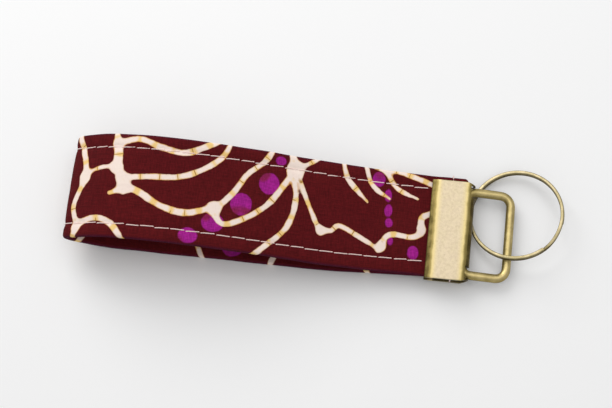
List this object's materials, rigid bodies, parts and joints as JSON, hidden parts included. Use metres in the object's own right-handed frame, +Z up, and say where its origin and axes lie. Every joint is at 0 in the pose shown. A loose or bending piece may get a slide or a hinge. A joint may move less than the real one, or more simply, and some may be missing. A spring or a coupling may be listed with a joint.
{
  "type": "wristlet keychain",
  "caption": "Fabric wristlet key fob: a topstitched strap folded into a loop, a crimped metal end clamp, a swinging rectangular wire loop and a split ring.",
  "frame": {"origin": "a point on the clamp's flat back face, midway across the strap, the one turned to the surface the keychain lies on", "axes": "+X along the strap from its folded end towards the rings, +Y across the strap, +Z up, out of the clamp's front face"},
  "size_m": [0.1576, 0.0387, 0.021],
  "materials": {
    "print_fabric": "matte woven cotton, maroon with a cream and magenta print",
    "webbing": "plain unbleached webbing",
    "thread": "off-white polyester sewing thread",
    "antique_brass": "satin antique brass plating, darker in the recesses"
  },
  "bodies": {
    "strap": {"strap_cover": "print_fabric", "strap_core": "webbing", "needle_thread_upper": "thread", "needle_thread_lower": "thread", "bobbin_thread_upper": "thread", "bobbin_thread_lower": "thread", "end_basting_stitch": "thread", "clamp": "antique_brass"},
    "wire_loop": {"wire_loop": "antique_brass"},
    "split_ring": {"split_ring": "antique_brass"}
  },
  "joints": [
    {"name": "wire_loop_swing", "type": "hinge", "parent": "strap", "child": "wire_loop", "pos_m": [0.0042, 0, 0.00265], "axis": [0, 1, 0], "range_deg": [-20, 15]},
    {"name": "split_ring_swing", "type": "hinge", "parent": "wire_loop", "child": "split_ring", "pos_m": [0.01823, 0, 0.00083], "axis": [0, 1, 0], "range_deg": [-120, 0]}
  ]
}
